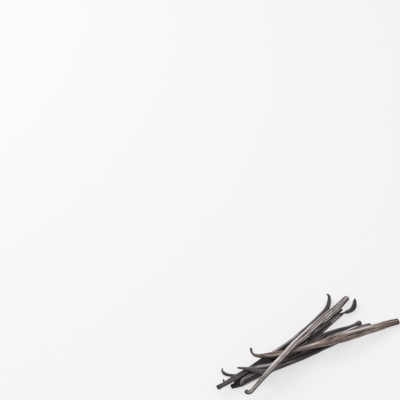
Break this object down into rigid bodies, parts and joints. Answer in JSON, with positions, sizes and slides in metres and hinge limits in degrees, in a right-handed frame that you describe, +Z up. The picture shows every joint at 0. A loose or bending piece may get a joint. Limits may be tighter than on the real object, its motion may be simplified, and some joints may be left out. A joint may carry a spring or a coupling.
{
  "type": "bundle of vanilla pods",
  "caption": "Loose bundle of dried vanilla pods lying across one another, long, thin and wrinkled, fanned out at both ends, some with hooked or curled stalk ends.",
  "frame": {"origin": "on the surface the bundle rests on, under the middle of its bounding box", "axes": "+X along the bundle's longest extent, +Z up, +Y completing a right-handed frame; seen from -Y the pods' curled stalk ends are at the left"},
  "size_m": [0.1959, 0.1398, 0.0221],
  "materials": {
    "pod_skin": "dark brown, wrinkled, slightly oily"
  },
  "bodies": {
    "root": {"vanilla_pods": "pod_skin"}
  },
  "joints": []
}
